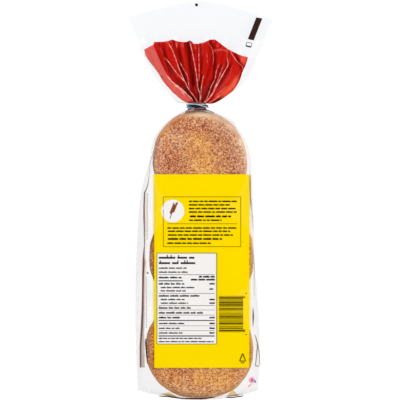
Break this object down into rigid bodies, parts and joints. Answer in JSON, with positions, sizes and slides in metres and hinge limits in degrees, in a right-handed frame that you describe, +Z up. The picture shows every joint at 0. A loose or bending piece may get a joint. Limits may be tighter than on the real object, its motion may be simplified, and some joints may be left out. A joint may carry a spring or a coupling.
{
  "type": "sealed clear bag of english muffins",
  "caption": "Clear film bag of round toasted muffins, gathered into a tied neck with a pleated skirt beyond it; lies flat with its printed back panel up.",
  "frame": {"origin": "centre of the footprint, on the surface that the bag lies on", "axes": "+Y from the sealed bottom to the open mouth past the tie, +Z up out of the back panel, +X to the right of the back panel as it reads"},
  "size_m": [0.1332, 0.36, 0.057],
  "materials": {
    "printed_film": "clear glossy film over toasted golden brown muffins, with a yellow panel and a red band in print",
    "coated_ribbon": "pale blue plastic coated ribbon with a soft sheen"
  },
  "bodies": {
    "root": {"bag": "printed_film", "tie": "coated_ribbon"}
  },
  "joints": []
}
